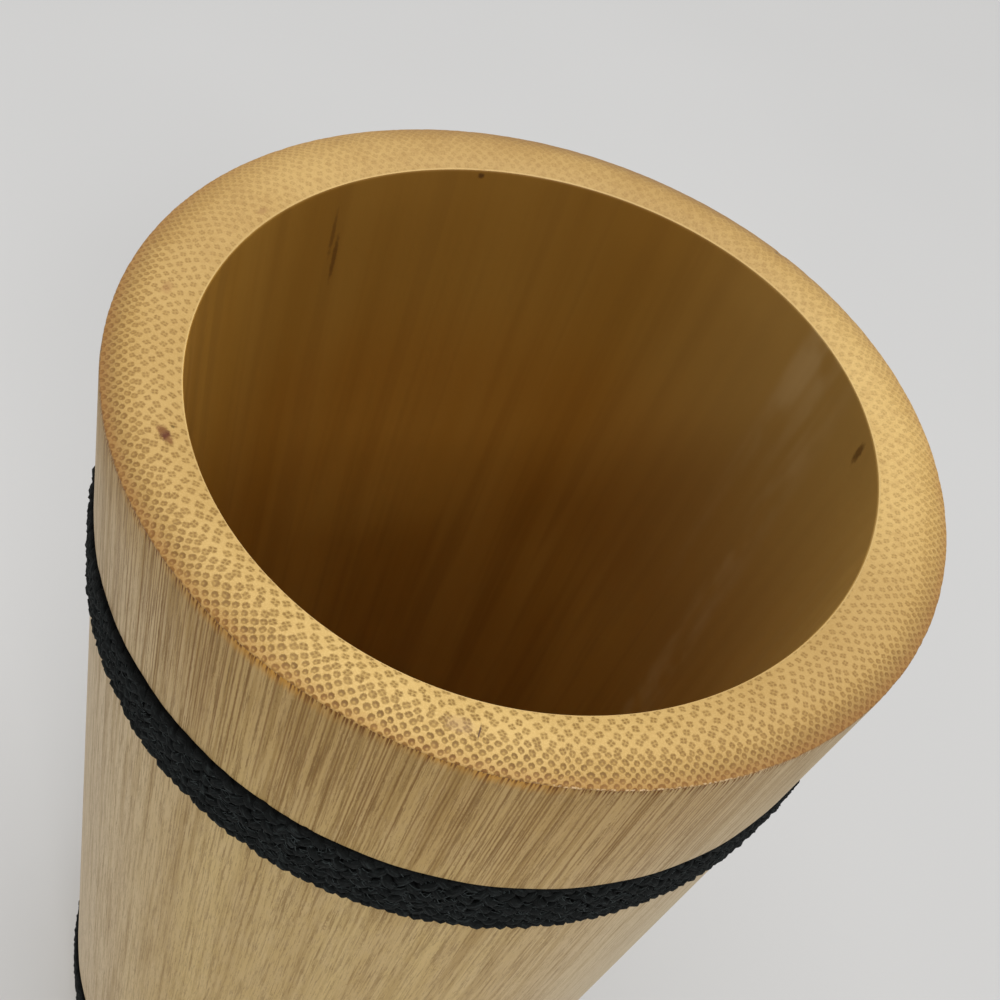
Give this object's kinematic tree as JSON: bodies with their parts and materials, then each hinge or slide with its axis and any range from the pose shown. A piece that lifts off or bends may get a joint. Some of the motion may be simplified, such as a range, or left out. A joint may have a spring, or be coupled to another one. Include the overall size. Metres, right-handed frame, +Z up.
{
  "type": "bamboo vase",
  "caption": "Cylindrical bamboo vase with a crowned end-grain rim, a grown diaphragm as its floor, and dark flat cords laid in grooves near the rim and foot.",
  "frame": {"origin": "middle of the foot, on the plane that the vase stands on", "axes": "+Z up along the culm's axis, -Y towards the front as pictured"},
  "size_m": [0.1036, 0.1036, 0.2138],
  "materials": {
    "bamboo": "side with its skin planed off and left matte, end grain sealed, hollow coated with a dark satin lacquer",
    "cord": "flat braided cord, near black with a slight sheen"
  },
  "bodies": {
    "root": {"culm": "bamboo", "upper_cord": "cord", "lower_cord": "cord"}
  },
  "joints": []
}
